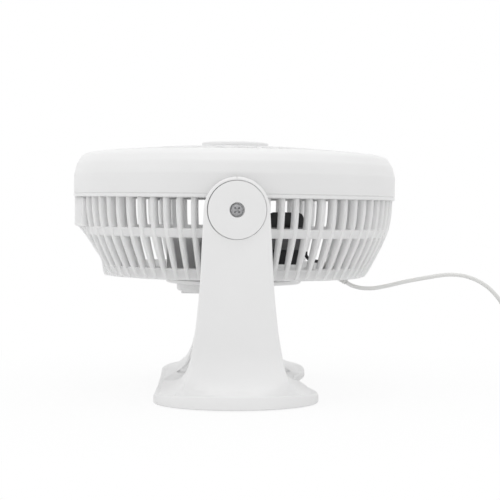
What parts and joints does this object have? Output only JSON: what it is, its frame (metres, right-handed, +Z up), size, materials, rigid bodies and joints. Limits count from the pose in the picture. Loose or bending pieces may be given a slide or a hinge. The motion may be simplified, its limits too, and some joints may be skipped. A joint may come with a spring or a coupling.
{
  "type": "desk fan",
  "caption": "Small mains desk fan with a round caged head that tilts between the two arms of a low stand, with a rear speed knob and a wired lead.",
  "frame": {"origin": "on the table under the middle of the stand, straight below the tilt axis", "axes": "+Z up, +Y along the tilt axis from the near arm to the far arm, +X the way the air blows when the head stands upright; drawn with the head facing up"},
  "size_m": [0.4373, 0.2698, 0.1851],
  "materials": {
    "white_plastic": "satin",
    "grey_plastic": "satin",
    "blade_plastic": "satin, faintly grey",
    "black_plastic": "satin",
    "rubber": "matt",
    "steel": "plated",
    "laminations": "oiled sheet stack",
    "bronze": "sintered",
    "cord_plastic": "satin, flexible"
  },
  "bodies": {
    "stand": {"stand_shell": "white_plastic", "arm_cover_near": "white_plastic", "arm_cover_far": "white_plastic", "base_plate": "grey_plastic", "foot_rear_left": "rubber", "foot_rear_right": "rubber", "foot_front_left": "rubber", "foot_front_right": "rubber", "base_screw_1": "steel", "base_screw_2": "steel", "base_screw_3": "steel", "base_screw_4": "steel", "friction_washer_near": "black_plastic", "friction_washer_far": "black_plastic", "cord_free": "cord_plastic", "cord_coil": "cord_plastic", "cord_tie": "black_plastic", "plug_body": "cord_plastic", "plug_pin_left": "steel", "plug_pin_right": "steel"},
    "head": {"front_ring": "white_plastic", "front_grille": "white_plastic", "grille_plate": "white_plastic", "rear_grille": "white_plastic", "rear_cover": "white_plastic", "ring_screw_1": "steel", "ring_screw_2": "steel", "ring_screw_3": "steel", "cover_screw_1": "steel", "cover_screw_2": "steel", "pivot_bracket_near": "white_plastic", "pivot_bracket_far": "white_plastic", "pivot_cap_near": "white_plastic", "pivot_cap_far": "white_plastic", "pivot_screw_near": "steel", "pivot_screw_far": "steel", "motor_core": "laminations", "motor_coil": "black_plastic", "coil_bobbin": "black_plastic", "bearing_bar_front": "steel", "bearing_bar_rear": "steel", "bearing_bush_front": "bronze", "bearing_bush_rear": "bronze", "motor_post_near": "grey_plastic", "motor_post_far": "grey_plastic", "motor_bolt_near": "steel", "motor_bolt_far": "steel", "switch_pocket": "grey_plastic", "rotary_switch": "black_plastic", "motor_lead": "black_plastic", "cord_sleeve": "cord_plastic", "cord_stub": "cord_plastic"},
    "rotor": {"fan_blade": "blade_plastic", "blade_nut": "white_plastic", "motor_shaft": "steel", "motor_rotor": "laminations"},
    "knob": {"speed_knob": "white_plastic", "switch_spindle": "black_plastic"}
  },
  "joints": [
    {"name": "head_tilt", "type": "hinge", "parent": "stand", "child": "head", "pos_m": [0, 0, 0.134], "axis": [0, 1, 0], "range_deg": [0, 90]},
    {"name": "blade_spin", "type": "hinge", "parent": "head", "child": "rotor", "pos_m": [0, 0, 0.134], "axis": [0.0131, 0, 0.9999], "continuous": true},
    {"name": "knob_turn", "type": "hinge", "parent": "head", "child": "knob", "pos_m": [-0.02876, 0, 0.07637], "axis": [0.0131, 0, 0.9999], "range_deg": [0, 135]}
  ]
}
